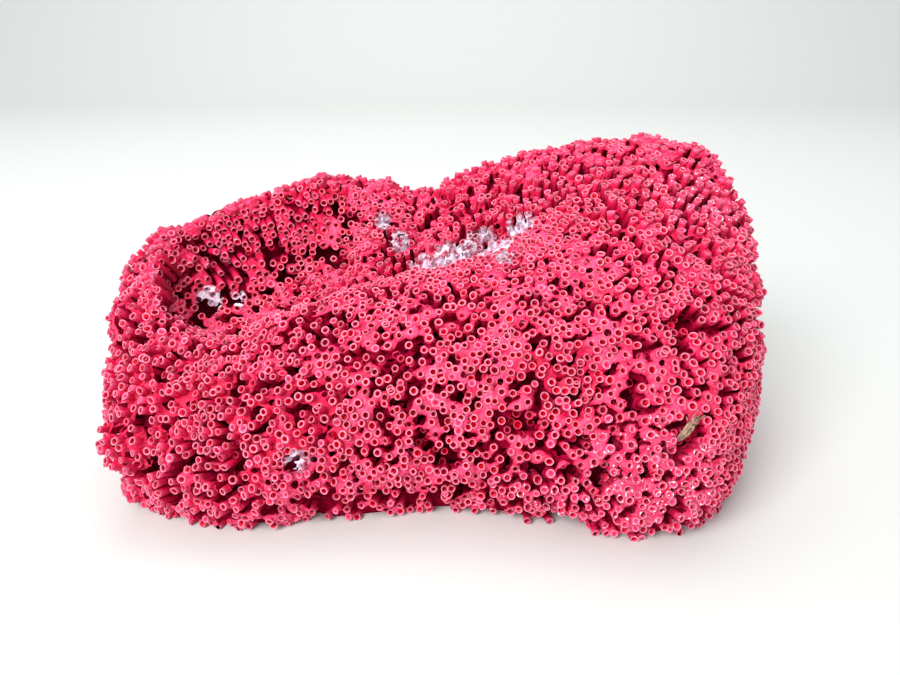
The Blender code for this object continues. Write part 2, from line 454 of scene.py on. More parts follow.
@dataclass(frozen=True)
class Weathering:
    """What years have done to the colony: pits, lost platforms, pale crust and bleached patches."""

    pits: tuple[Spot, ...] = spots(
        (2.0, -41.2, 20.8, 3.6), (20.2, -40.4, 30.3, 2.8), (-4.2, -40.2, 25.4, 2.4),
        (33.6, -44.3, 27.9, 2.0), (-48.5, -44.9, 23.2, 3.0), (31.0, -46.1, 19.5, 2.2),
        (38.8, -47.7, 20.2, 2.4), (58.0, -31.7, 53.8, 3.0), (57.0, -36.0, 50.0, 2.6),
        (48.8, -6.2, 71.9, 2.2), (58.5, -46.0, 31.0, 3.2), (-47.7, 15.0, 53.5, 2.4),
        (-66.0, 0.0, 43.0, 1.8), (-34.5, -43.5, 21.0, 2.2),
    )
    bare: tuple[Spot, ...] = spots(
        (-62.0, 14.0, 58.0, 18.0), (-38.0, 26.0, 66.0, 13.0), (67.2, -0.6, 74.8, 26.0),
        (78.0, -12.0, 52.0, 22.0), (42.0, 4.0, 74.0, 18.0), (-76.0, -30.0, 30.0, 24.0),
        (-52.0, -42.0, 30.0, 20.0), (20.0, 20.0, 66.0, 16.0), (30.0, -38.0, 42.0, 12.0),
        (-30.0, -36.0, 30.0, 12.0), (10.0, 46.0, 60.0, 30.0), (-60.0, 44.0, 30.0, 22.0),
        (60.0, 46.0, 40.0, 24.0),
    )
    crusts: tuple[Spot, ...] = spots(
        (3.0, 15.0, 52.2, 6.0), (17.5, -7.5, 60.5, 2.8), (-17.2, 23.5, 61.3, 3.0),
        (21.6, 9.9, 63.8, 6.0), (11.8, 15.1, 56.2, 6.0), (-33.2, -44.1, 21.8, 3.4),
        (-5.0, 15.0, 50.0, 4.6), (-12.0, 20.0, 56.0, 3.6), (18.0, 2.0, 60.0, 4.0),
        (-64.5, 1.0, 45.0, 4.0), (-57.0, 3.0, 44.0, 2.4), (70.0, -22.0, 50.0, 3.4),
        (-68.6, -41.0, 26.8, 2.0),
    )
    bleached: tuple[Spot, ...] = spots(
        (49.3, -49.9, 17.0, 24.0), (67.2, -0.6, 74.8, 17.0), (20.0, -46.0, 8.0, 16.0),
    )
    combs: tuple[Spot, ...] = spots(
        (-64.0, 10.0, 57.0, 13.0), (-46.0, 20.0, 60.0, 9.0), (70.0, -2.0, 72.0, 12.0),
        (79.0, -12.0, 55.0, 10.0), (-57.0, -43.0, 26.0, 8.0), (33.0, 14.0, 72.0, 8.0),
    )
    upper_height: float = -1.35
    upper_waves: float = 1.0
    ripples: float = 0.5
    swells: float = 1.3
    swell_range: tuple[float, float] = (-1.3, 0.9)
    bare_drop: float = 2.1
    highest_platform: float = -0.5
    worn_range: tuple[float, float] = (0.40, 0.68)
    comb_wear: float = 0.85

    @staticmethod
    def closeness(places: Array, group: tuple[Spot, ...], widening: float = 1.0) -> Array:
        """How near places lie to the middle of any spot.

        Args:
            places: The places.
            group: The spots.
            widening: Factor on the spots' reach.

        Returns:
            For each place 1 in the middle of a spot, falling to 0 at its reach.
        """
        near = np.zeros(len(places))
        for spot in group:
            apart = np.linalg.norm(places - np.array(spot.place), axis=1) / (spot.reach * widening)
            near = np.maximum(near, 1.0 - apart)
        return near

    def platform_height(self, places: Array) -> Array:
        """How high the upper platform lies along the pipes.

        Args:
            places: Places on the outer form.

        Returns:
            Its height at each, with 0 at the outer form.
        """
        waves = self.upper_waves * lumpiness(places, 16.0, 5.0) + self.ripples * lumpiness(places, 5.0, 6.0)
        height = self.upper_height + waves - self.bare_drop * self.bareness(places)
        height = height.clip(None, self.highest_platform)
        return height + self.swell(places)

    def bareness(self, places: Array) -> Array:
        """How far the pipes stand free of the upper platform, from 0 to 1."""
        near = self.closeness(places, self.bare) + 0.35 * lumpiness(places, 9.0, 15.0)
        return smoothstep(0.05, 0.5, near)

    def exposure(self, places: Array) -> Array:
        """How far the upper platform has gone, from 0 where it is whole to 1 where none is left."""
        worn = smoothstep(*self.worn_range, lumpiness(places, 7.0, 11.0))
        return np.maximum(worn, self.pitted(places))

    def combed(self, places: Array) -> Array:
        """How far the pipes of a place stand clear as a comb, with no upper platform between them."""
        return self.comb_wear * smoothstep(0.0, 0.4, self.closeness(places, self.combs))

    def pitted(self, places: Array) -> Array:
        """How far places lie within the pits, from 0 outside them to 1."""
        return smoothstep(0.0, 0.3, self.closeness(places, self.pits, 1.3))

    def swell(self, places: Array) -> Array:
        """How far the whole surface rises or falls from the outer form."""
        return (self.swells * lumpiness(places, 7.5, 71.0)).clip(*self.swell_range)


@dataclass
class PipePattern:
    """One pipe, modelled as a stack of rings that the copies then stretch to their own shape."""

    sides: int
    rings: int = 4

    def model(self) -> tuple[Array, Array, list[Array]]:
        """Model the stack of rings.

        Returns:
            The ring number and the side number of each vertex, and the vertex numbers of each face.
        """
        obj = added(bpy.ops.mesh.primitive_circle_add, vertices=self.sides, radius=1.0,
                    fill_type="NOTHING")
        with editing():
            for _ in range(self.rings - 1):
                bpy.ops.mesh.extrude_region_move(TRANSFORM_OT_translate={"value": (0.0, 0.0, 1.0)})
            bpy.ops.mesh.fill()
        mesh = obj.data
        places = np.array([vert.co[:] for vert in mesh.vertices])
        ring = np.rint(places[:, 2]).astype(int)
        angle = np.arctan2(places[:, 1], places[:, 0]) / (2.0 * math.pi) * self.sides
        side = np.rint(angle).astype(int) % self.sides
        faces = [self.turned_out(np.array(face.vertices[:]), ring, side) for face in mesh.polygons]
        bpy.data.objects.remove(obj)
        bpy.data.meshes.remove(mesh)
        return ring, side, faces

    def turned_out(self, face: Array, ring: Array, side: Array) -> Array:
        """Turn a face so that it faces out of the pipe's wall.

        Args:
            face: Vertex numbers of the face.
            ring: Ring number of each vertex.
            side: Side number of each vertex.

        Returns:
            The same vertex numbers, in their own order or in the opposite one.
        """
        if np.ptp(ring[face]) == 0:
            steps = np.diff(np.append(side[face], side[face[0]])) % self.sides
            return face if (steps == 1).sum() > 1 else face[::-1]
        low = [k for k in face if ring[k] == ring[face].min()]
        first, second = low if (side[low[1]] - side[low[0]]) % self.sides == 1 else low[::-1]
        at = list(face).index(first)
        return face if face[(at + 1) % len(face)] == second else face[::-1]


@dataclass
class Pipes:
    """All pipes of the colony, as arrays with one entry for each pipe. Lengths are in millimetres."""

    place: Array
    axis: Array
    across: Array
    up: Array
    radius: Array
    bore: Array
    tip: Array
    root: Array
    mouth: Array
    tone: Array
    slope: Array
    flare: Array


@dataclass
class PipeField:
    """Where the pipes stand, how they lean, how long they are and which mouths are grown over."""

    weathering: Weathering
    count: int = 6800
    samples: int = 100000
    lowest: float = -0.2
    relax_turns: int = 4
    drifts: tuple[Drift, ...] = (
        Drift((-62.0, 12.0, 58.0), 26.0, (0.52, -0.72, -0.45)),
        Drift((-40.0, 20.0, 62.0), 18.0, (0.36, -0.86, -0.36)),
        Drift((67.2, -2.0, 72.0), 24.0, (0.18, -0.20, 0.96)),
    )
    # How they lean
    growth_centre: Triple = (13.0, 28.0, -15.0)
    growth_width: float = 0.45
    growth_share: float = 0.78
    drift_share: float = 0.8
    least_steepness: float = 0.45
    jitter: float = 0.07
    bare_jitter: float = 0.08
    # How wide they are
    radius: float = 0.94
    radius_spread: float = 0.08
    bore_share: float = 0.68
    bore_spread: float = 0.06
    # Where they end, with 0 at the outer form
    tip_top: float = -0.1
    tip_spread: float = 1.15
    bare_tip_spread: float = 1.05
    tip_waves: float = 0.35
    least_rise: float = 0.35
    rise_spread: float = 0.3
    highest_tip: float = 1.0
    snapped_share: float = 0.04
    snapped_where_bare: float = 0.05
    snapped_where_worn: float = 0.45
    sunk_depth: float = 4.0
    sunk_spread: float = 2.5
    slope_spread: float = 0.16
    least_root: float = 3.5
    root_depth: float = 9.5
    lower_drop: float = 4.2
    # Where some are missing: low down and at the front
    thinning: float = 0.38
    thinned_z: tuple[float, float] = (17.0, 7.0)
    thinned_y: tuple[float, float] = (10.0, -10.0)
    # How their mouths are
    lidded_share: float = 0.08
    lidded_where_bleached: float = 0.34
    flared_share: float = 0.16
    flare: float = 0.6

    def lean(self, places: Array, normals: Array) -> Array:
        """Directions in which the pipes grow.

        Args:
            places: Where the pipes reach the outer form.
            normals: The form's own directions there.

        Returns:
            Unit directions between the form's own and the direction of growth from the base.
        """
        centre = np.array(self.growth_centre) + np.stack(
            (places[:, 0] * self.growth_width, np.zeros(len(places)), np.zeros(len(places))), axis=1)
        growth = unit(places - centre)
        agreement = (growth * normals).sum(1)
        share = (self.growth_share * smoothstep(0.35, 0.8, agreement))[:, None]
        out = growth * share + normals * (1.0 - share)
        for drift in self.drifts:
            own = np.array(drift.direction)
            apart = np.linalg.norm(places - np.array(drift.place), axis=1)
            held = self.drift_share * smoothstep(drift.reach, 0.4 * drift.reach, apart)
            held = held * smoothstep(-0.1, 0.5, normals @ own)
            out = out * (1.0 - held[:, None]) + own * held[:, None]
        out = unit(out)
        steep = (self.least_steepness - (out * normals).sum(1)).clip(0.0)
        return unit(out + normals * steep[:, None])

    def tips(self, place: Array, bareness: Array, rng: np.random.Generator) -> Array:
        """Choose where the pipes end.

        Args:
            place: Where the pipes reach the outer form.
            bareness: How far each stands free of the upper platform.
            rng: Source of randomness.

        Returns:
            The height of each tip along its pipe, with 0 at the outer form.
        """
        total = len(place)
        height = self.weathering.platform_height(place)
        tip = self.tip_top - (self.tip_spread + self.bare_tip_spread * bareness) * rng.random(total)
        tip = tip + self.tip_waves * lumpiness(place, 4.0, 61.0, 1) + self.weathering.swell(place)
        risen = height + self.least_rise + self.rise_spread * rng.random(total)
        tip = np.maximum(tip, risen).clip(None, self.highest_tip)
        frail = self.snapped_share + self.snapped_where_bare * bareness
        snapped = rng.random(total) < frail + self.snapped_where_worn * self.weathering.exposure(place)
        broken = height - self.lower_drop * rng.random(total) + 0.6
        tip = np.where(snapped, np.minimum(broken, tip - 1.0), tip)
        sunk = self.weathering.closeness(place, self.weathering.pits) > 0.0
        return np.where(sunk, -self.sunk_depth - self.sunk_spread * rng.random(total), tip)

    def grow(self, samples: SurfaceSamples, rng: np.random.Generator) -> Pipes:
        """Grow all pipes.

        Args:
            samples: Points over the outer form.
            rng: Source of randomness.

        Returns:
            The pipes.
        """
        chosen = samples.spread(self.count, self.relax_turns, rng)
        place, normal = samples.places[chosen], samples.normals[chosen]
        kept = self.weathering.closeness(place, self.weathering.pits, 0.4) <= 0.0
        thin = self.thinning * smoothstep(*self.thinned_z, place[:, 2])
        thin = thin * smoothstep(*self.thinned_y, place[:, 1])
        kept &= rng.random(len(place)) > thin
        place, normal = place[kept], normal[kept]
        total = len(place)
        bareness = self.weathering.bareness(place)
        stray = self.jitter + self.bare_jitter * bareness[:, None]
        axis = unit(self.lean(place, normal) + stray * rng.standard_normal((total, 3)))
        across = unit(np.cross(axis, np.where(np.abs(axis[:, 2:]) < 0.9, (0, 0, 1), (1, 0, 0))))
        up = np.cross(axis, across)
        radius = self.radius * (1.0 + self.radius_spread * rng.standard_normal(total).clip(-2, 2))
        bore = radius * self.bore_share * (1.0 + self.bore_spread * rng.standard_normal(total).clip(-2, 2))
        tip = self.tips(place, bareness, rng)
        pale = self.weathering.closeness(place, self.weathering.bleached)
        grown_over = self.lidded_share + self.lidded_where_bleached * smoothstep(0.0, 0.5, pale)
        lidded = rng.random(total) < grown_over
        mouth = np.where(lidded, Mouth.LIDDED, Mouth.OPEN)
        root = -(self.root_depth * (axis * normal).sum(1)).clip(self.least_root, self.root_depth)
        tone = rng.random(total)
        slope = self.slope_spread * rng.standard_normal((total, 2))
        flare = np.where(rng.random(total) < self.flared_share, self.flare, 0.0)
        return Pipes(place, axis, across, up, radius, bore, tip, root, mouth, tone, slope, flare)


def mesh_object(name: str, places: Array, corners: Array, sizes: Array) -> bpy.types.Object:
    """Make a smooth-shaded object from arrays.

    Args:
        name: Name of the object.
        places: Vertex places in the growth frame, in millimetres.
        corners: Vertex numbers of all faces, one face after another.
        sizes: Number of corners of each face.

    Returns:
        The object.
    """
    mesh = bpy.data.meshes.new(name)
    mesh.vertices.add(len(places))
    mesh.vertices.foreach_set("co", ((places + TO_ORIGIN) * MM).ravel())
    mesh.loops.add(len(corners))
    mesh.loops.foreach_set("vertex_index", corners)
    mesh.polygons.add(len(sizes))
    mesh.polygons.foreach_set("loop_start", np.concatenate(([0], np.cumsum(sizes)[:-1])))
    mesh.update(calc_edges=True)
    mesh.validate()
    mesh.shade_smooth()
    mesh.set_sharp_from_angle(angle=SHARP_ANGLE)
    return linked(name, mesh)


@dataclass
class Surface:
    """What the finish reads at each vertex: depth under the tips, which it paints as shade, bore, tone,
    crust and bleaching.
    """

    depth: Array
    inside: Array
    tone: Array
    crust: Array
    pale: Array

    @classmethod
    def of(cls, places: Array, depth: Array, inside: Array, tone: Array,
           weathering: Weathering) -> "Surface":
        """Work out the crust and the bleaching at places, and hold them with the rest.

        Args:
            places: Places in the growth frame.
            depth: Depth under the tips, which the finish paints as shade.
            inside: How far each place is in a bore.
            tone: Own shade, from 0 to 1.
            weathering: Where the crusts and the bleached patches are.

        Returns:
            The surface.
        """
        crust = smoothstep(0.0, 0.6, weathering.closeness(places, weathering.crusts, 1.2))
        pale = smoothstep(0.0, 0.7, weathering.closeness(places, weathering.bleached))
        return cls(depth, inside, tone, crust, pale)

    def store(self, mesh: bpy.types.Mesh) -> None:
        """Store all values on the mesh under their own names."""
        for name, values in vars(self).items():
            add_attribute(mesh, name, values)


@dataclass
class PipeStand:
    """The pipes' meshes, joined in several stretches from the left end to the right end."""

    pipes: Pipes
    weathering: Weathering
    sides: int = 11
    stretches: int = 4
    bore_depth: float = 1.5
    lid_depth: float = 0.3
    rim_drop: float = 0.08
    # Tips lower than this count as deeper, for more painted shade
    painted_shade_from: float = -1.8
    above_cut: float = 0.05

    def ring_shape(self, pick: Array) -> tuple[Array, Array, Array, Array]:
        """Heights, radii, depths and bore marks of every ring of the picked pipes; the depths drive the
        painted shade.

        Args:
            pick: Numbers of the pipes.

        Returns:
            Four arrays with one entry for each pipe, ring and side.
        """
        p = self.pipes
        angle = np.arange(self.sides) * 2.0 * math.pi / self.sides
        tip = p.tip[pick][:, None] + p.radius[pick][:, None] * (
            p.slope[pick, :1] * np.cos(angle) + p.slope[pick, 1:] * np.sin(angle))
        one = np.ones_like(tip)
        outer = p.radius[pick][:, None] * one
        bore = p.bore[pick][:, None] * one
        root = p.root[pick][:, None] * one
        lidded = (p.mouth[pick] == Mouth.LIDDED)[:, None]
        # Painted shade: each ring's depth under the tip darkens it in the finish, more for tips sunk low
        below = 0.25 * (self.painted_shade_from - tip).clip(0.0)
        floor = np.where(lidded, tip - self.lid_depth, tip - self.bore_depth)
        shapes = [
            (root, outer * 0.95, below + tip - root, 0.0 * one),
            (tip, outer * 0.98, below, 0.0 * one),
            # Bore marks say how far each ring takes the bores' dark red, which is partly painted shade of
            # the holes
            (tip - self.rim_drop, bore, below + np.where(lidded, 0.3, 0.15), np.where(lidded, 0.0, 0.6)),
            (floor, bore * np.where(lidded, 0.42, 0.85), below + np.where(lidded, 0.9, 1.5),
             np.where(lidded, 0.75, 1.0)),
        ]
        height, reach, depth, inside = (np.stack([s[k] * one for s in shapes], axis=1) for k in range(4))
        return height, reach, depth, inside

    def joined(self, name: str, pick: Array) -> bpy.types.Object:
        """One mesh of all the picked pipes.

        Args:
            name: Name of the object.
            pick: Numbers of the pipes.

        Returns:
            The object.
        """
        p = self.pipes
        ring, side, faces = PipePattern(self.sides).model()
        height, reach, depth, inside = self.ring_shape(pick)
        angle = side * 2.0 * math.pi / self.sides
        h, r = height[:, ring, side], reach[:, ring, side]
        place = (p.place[pick][:, None] + p.axis[pick][:, None] * h[..., None]
                 + p.across[pick][:, None] * (r * np.cos(angle))[..., None]
                 + p.up[pick][:, None] * (r * np.sin(angle))[..., None]).reshape(-1, 3)
        place[:, 2] = place[:, 2].clip(self.above_cut)
        offsets = np.arange(len(pick)) * len(ring)
        corners = (offsets[:, None] + np.concatenate(faces)[None]).ravel()
        obj = mesh_object(name, place, corners, np.tile([len(face) for face in faces], len(pick)))
        Surface.of(place, depth[:, ring, side].ravel(), inside[:, ring, side].ravel(),
                   np.repeat(p.tone[pick], len(ring)), self.weathering).store(obj.data)
        return obj

    def build(self) -> list[bpy.types.Object]:
        """All stretches of pipes."""
        order = np.argsort(self.pipes.place[:, 0])
        return [self.joined(f"pipes_{index + 1}", pick)
                for index, pick in enumerate(np.array_split(order, self.stretches))]


@dataclass
class Domes:
    """Rounded lumps that have grown over small groups of mouths, mostly along the rear skyline."""

    pipes: Pipes
    weathering: Weathering
    placed: tuple[Spot, ...] = spots(
        (-56.0, 27.0, 67.0, 3.0), (-69.0, 12.0, 62.0, 2.5), (-62.0, 22.0, 66.0, 2.4),
        (-38.0, 34.0, 73.0, 2.6), (60.0, 12.0, 80.0, 2.8), (66.0, 20.0, 84.0, 2.6),
        (74.0, 2.0, 72.0, 3.0), (80.0, -8.0, 56.0, 2.6), (46.0, 20.0, 82.0, 2.2),
    )
    scattered: int = 16
    scattered_radius: tuple[float, float] = (1.1, 1.8)
    flatness: float = 0.66
    relief: float = 0.34

    def build(self, rng: np.random.Generator) -> bpy.types.Object:
        """Make all domes, each a lumpy cap on the pipe nearest to its place.

        Args:
            rng: Source of randomness.

        Returns:
            The object.
        """
        pattern = added(bpy.ops.mesh.primitive_ico_sphere_add, subdivisions=3, radius=1.0)
        shape, _, triangles = mesh_arrays(pattern)
        shape = shape * MM
        bpy.data.objects.remove(pattern)
        tree = point_tree(self.pipes.place)
        seats = [(tree.find(spot.place)[1], spot.reach) for spot in self.placed]
        place = self.pipes.place
        far = (place[:, 1] > 6.0) & (place[:, 2] > 45.0)
        far &= self.weathering.closeness(place, self.weathering.crusts, 1.3) <= 0.0
        picked = rng.choice(np.flatnonzero(far), self.scattered, replace=False)
        least, most = self.scattered_radius
        seats += [(pick, least + (most - least) * rng.random()) for pick in picked]
        places = []
        p = self.pipes
        for pick, radius in seats:
            swell = 1.0 + self.relief * lumpiness(shape + float(pick), 0.6, 3.0, 3)
            local = shape * swell[:, None] * radius * np.array((1.0, 0.85, self.flatness))
            turned = np.stack((p.across[pick], p.up[pick], p.axis[pick]))
            seat = p.place[pick] + p.axis[pick] * (min(p.tip[pick], -0.5) - 0.35 * radius)
            places.append(seat + local @ turned)
        place = np.concatenate(places)
        place[:, 2] = place[:, 2].clip(0.0)
        offsets = np.arange(len(seats)) * len(shape)
        corners = (offsets[:, None] + triangles.ravel()[None]).ravel()
        obj = mesh_object("domes", place, corners, np.full(len(corners) // 3, 3))
        count = len(place)
        Surface.of(place, 0.3 + 1.2 * rng.random(count), np.zeros(count), rng.random(count),
                   self.weathering).store(obj.data)
        return obj


@dataclass
class Cut:
    """A cut through a mesh of triangles: those kept, and the new vertices on the edges it crosses."""

    triangles: Array
    kept_end: Array
    lost_end: Array

    @classmethod
    def between(cls, triangles: Array, keep: Array) -> "Cut":
        """Cut triangles between the vertices that are kept and those that aren't.

        Args:
            triangles: Vertex numbers of the triangles.
            keep: Whether each vertex is kept.

        Returns:
            The cut. Its new vertices are numbered from the number of old ones on.
        """
        total = len(keep)
        held = keep[triangles]
        count = held.sum(1)
        whole = triangles[count == 3]
        mixed = triangles[(count == 1) | (count == 2)]
        odd = np.where(keep[mixed].sum(1)[:, None] == 1, keep[mixed], ~keep[mixed]).argmax(1)
        turned = np.take_along_axis(mixed, (odd[:, None] + np.arange(3)) % 3, axis=1)
        alone_kept = keep[turned[:, 0]]
        ends = []
        for other in (1, 2):
            kept_end = np.where(alone_kept, turned[:, 0], turned[:, other])
            lost_end = np.where(alone_kept, turned[:, other], turned[:, 0])
            ends.append(kept_end.astype(np.int64) * total + lost_end)
        codes, numbers = np.unique(np.concatenate(ends), return_inverse=True)
        first, second = (total + part for part in np.split(numbers.ravel(), 2))
        tips = np.stack((turned[:, 0], first, second), axis=1)[alone_kept]
        rest = turned[~alone_kept]
        a, b = first[~alone_kept], second[~alone_kept]
        quads = np.concatenate((np.stack((a, rest[:, 1], rest[:, 2]), axis=1),
                                np.stack((a, rest[:, 2], b), axis=1)))
        return cls(np.concatenate((whole, tips, quads)), codes // total, codes % total)

    def extended(self, values: Array) -> Array:
        """Values of the old vertices, and then of the new ones as at the ends that are kept."""
        return np.concatenate((values, values[self.kept_end]))


def on_border(triangles: Array, total: int) -> Array:
    """Find the border of a mesh of triangles.

    Args:
        triangles: Vertex numbers of the triangles.
        total: Number of vertices.

    Returns:
        Whether each vertex is at an end of an edge that only one triangle has.
    """
    edges = np.sort(np.concatenate([triangles[:, [i, (i + 1) % 3]] for i in range(3)]), axis=1)
    codes, counts = np.unique(edges[:, 0].astype(np.int64) * total + edges[:, 1], return_counts=True)
    lone = codes[counts == 1]
    border = np.zeros(total, bool)
    border[lone // total] = True
    border[lone % total] = True
    return border


@dataclass
class Platform:
    """One perforated sheet that joins the pipes at one level, thin at its melted edges."""

    name: str
    field: PipeField
    pipes: Pipes
    drop: float = 0.0
    grain: float = 0.87
    reach: float = 1.10
    fine_wear: float = 0.56
    broad_wear: float = 0.24
    lost_reach: float = 1.2
    crust_reach: float = 0.35
    softness: float = 1.0
    thickness: float = 0.45
    fillet: float = 0.36
    fillet_width: float = 0.45
    neighbours: int = 9
    hole_share: float = 0.84
    roughness: float = 0.16
    # Depths that the finish paints as shade: the whole sheet, its thin edges, where pipes stand bare, and
    # its underside
    sheet_depth: float = 0.52
    edge_depth: float = 0.7
    bare_depth: float = 0.7
    under_depth: float = 1.5
    pieces: int = 3

    def base(self, form: bpy.types.Object) -> tuple[Array, Array, Array]:
        """Copy the outer form finely.

        Args:
            form: The outer form.

        Returns:
            Places, normals and triangles of the copy, above the cut.
        """
        activate(form)
        bpy.ops.object.duplicate()
        copy = bpy.context.active_object
        apply_modifier(copy, "REMESH", mode="VOXEL", voxel_size=self.grain * MM)
        apply_modifier(copy, "SMOOTH", factor=0.5, iterations=2)
        places, normals, triangles = mesh_arrays(copy)
        bpy.data.objects.remove(copy)
        return places, normals, triangles[places[triangles][:, :, 2].min(1) > -1.0]

    def apart(self, places: Array, near: Array) -> Array:
        """Measure from places to the pipes near them.

        Args:
            places: The places.
            near: Numbers of the pipes near each place.

        Returns:
            Distances of each place from those pipes' axes.
        """
        gap = places[:, None] - self.pipes.place[near]
        axis = self.pipes.axis[near]
        return np.linalg.norm(gap - (gap * axis).sum(2)[..., None] * axis, axis=2)

    def margin(self, outer: Array, apart: Array, flare: Array) -> Array:
        """How far inside the sheet's edge places lie.

        Args:
            outer: The places on the outer form.
            apart: Distances from the axes of the pipes near each.
            flare: How far the collars of those pipes reach out.

        Returns:
            The distance in millimetres, negative outside the edge.
        """
        joined = np.exp(-((apart - flare).clip(0.0) / self.softness) ** 2).sum(1).clip(1e-9, 1.0)
        union = self.softness * np.sqrt(-np.log(joined))
        shift = 21.0 + 13.0 * self.drop
        reach = self.reach + self.fine_wear * lumpiness(outer, 2.8, shift)
        reach = reach + self.broad_wear * lumpiness(outer, 11.0, shift + 7.0)
        weathering = self.field.weathering
        lost = weathering.pitted(outer)
        if self.drop == 0.0:
            lost = np.maximum(weathering.exposure(outer), weathering.combed(outer))
        crusted = smoothstep(0.0, 0.5, weathering.closeness(outer, weathering.crusts))
        return reach + self.crust_reach * crusted - self.lost_reach * lost - union

    def wall_share(self, start: Array, end: Array, pipe: Array, hole: Array) -> Array:
        """Find where edges of the sheet meet the walls of pipes.

        Args:
            start: The edges' ends outside the walls.
            end: Their ends inside.
            pipe: Number of the pipe that each meets.
            hole: Radius of the hole round that pipe.

        Returns:
            The share of each edge that lies outside the wall.
        """
        axis = self.pipes.axis[pipe]
        a = start - self.pipes.place[pipe]
        a = a - (a * axis).sum(1)[:, None] * axis
        b = end - start
        b = b - (b * axis).sum(1)[:, None] * axis
        square, mixed = (b * b).sum(1), (a * b).sum(1)
        inner = (mixed ** 2 - square * ((a * a).sum(1) - hole ** 2)).clip(0.0)
        return ((-mixed - np.sqrt(inner)) / np.maximum(square, 1e-9)).clip(0.02, 0.98)

    def build(self, form: bpy.types.Object) -> list[bpy.types.Object]:
        """Make the sheet over the form.

        Args:
            form: The outer form.

        Returns:
            The objects.
        """
        outer, normals, triangles = self.base(form)
        used, triangles = renumbered(triangles)
        outer, normals = outer[used], normals[used]
        lean = self.field.lean(outer, normals)
        level = self.field.weathering.platform_height(outer) - self.drop
        middle = outer + lean * level[:, None]
        tree = point_tree(self.pipes.place)
        near = np.array([[hit[1] for hit in tree.find_n(p, self.neighbours)] for p in outer])
        apart = self.apart(middle, near)
        margin = self.margin(outer, apart, self.pipes.flare[near])
        cut = Cut.between(triangles, margin > 0.0)
        share = margin[cut.kept_end] / (margin[cut.kept_end] - margin[cut.lost_end])
        start, end = middle[cut.kept_end], middle[cut.lost_end]
        middle = np.concatenate((middle, start + share[:, None] * (end - start)))
        lean, near = cut.extended(lean), cut.extended(near)
        margin = np.concatenate((margin, np.zeros(len(cut.kept_end))))
        apart = self.apart(middle, near)
        nearest = near[np.arange(len(near)), apart.argmin(1)]
        hole = self.pipes.radius[nearest] * self.hole_share
        clear = apart.min(1) - hole
        cut = Cut.between(cut.triangles, clear > 0.0)
        start, end = middle[cut.kept_end], middle[cut.lost_end]
        share = self.wall_share(start, end, nearest[cut.lost_end], hole[cut.lost_end])
        middle = np.concatenate((middle, start + share[:, None] * (end - start)))
        lean, margin = cut.extended(lean), cut.extended(margin)
        clear = np.concatenate((clear, np.zeros(len(cut.kept_end))))
        return self.sheet(middle, lean, margin, clear, cut.triangles)

    def sheet(self, middle: Array, lean: Array, margin: Array, clear: Array,
              triangles: Array) -> list[bpy.types.Object]:
        """Give the cut sheet its two faces, which meet along every edge.

        Args:
            middle: Places of the sheet.
            lean: Directions out of it.
            margin: Distance inside its own edge.
            clear: Distance from the pipes' walls.
            triangles: Its triangles.

        Returns:
            The objects.
        """
        used, triangles = renumbered(triangles)
        middle, lean, margin, clear = middle[used], lean[used], margin[used], clear[used]
        total = len(used)
        border = on_border(triangles, total)
        raised = self.fillet * np.exp(-clear.clip(0.0) / self.fillet_width)
        rough = self.roughness * lumpiness(middle, 1.3, 41.0, 1)
        top = middle + lean * (raised + np.where(border, -0.5 * self.thickness, rough))[:, None]
        inner = np.flatnonzero(~border)
        number = np.arange(total)
        number[inner] = total + np.arange(len(inner))
        under = middle[inner] - lean[inner] * self.thickness
        places = np.concatenate((top, under))
        places[:, 2] = places[:, 2].clip(0.0)
        faces = np.concatenate((triangles, number[triangles][:, ::-1]))
        # Painted shade: the sheet darkens when lower, towards its edges, where pipes stand bare and on its
        # underside
        depth = self.drop * 0.8 + self.sheet_depth + self.edge_depth * smoothstep(0.45, 0.0, margin)
        depth += self.bare_depth * self.field.weathering.bareness(middle)
        depth = np.concatenate((depth, depth[inner] + self.under_depth))
        tone = 0.5 + 0.5 * lumpiness(places, 6.0, 51.0, 1)
        return self.split_up(places, faces, depth, tone)

    def split_up(self, places: Array, faces: Array, depth: Array, tone: Array) -> list[bpy.types.Object]:
        """Split the sheet into stretches from the left end to the right end.

        Args:
            places: Vertex places of the sheet.
            faces: Its triangles.
            depth: Depth of each vertex under the tips.
            tone: Own shade of each vertex.

        Returns:
            The objects.
        """
        out = []
        split = places[faces[:, 0], 0]
        bounds = np.quantile(split, np.linspace(0.0, 1.0, self.pieces + 1))
        bounds[-1] += 1.0
        for index in range(self.pieces):
            part = faces[(split >= bounds[index]) & (split < bounds[index + 1])]
            kept, part = renumbered(part)
            obj = mesh_object(f"{self.name}_{index + 1}", places[kept], part.ravel(), np.full(len(part), 3))
            Surface.of(places[kept], depth[kept], np.zeros(len(kept)), tone[kept],
                       self.field.weathering).store(obj.data)
            out.append(obj)
        return out


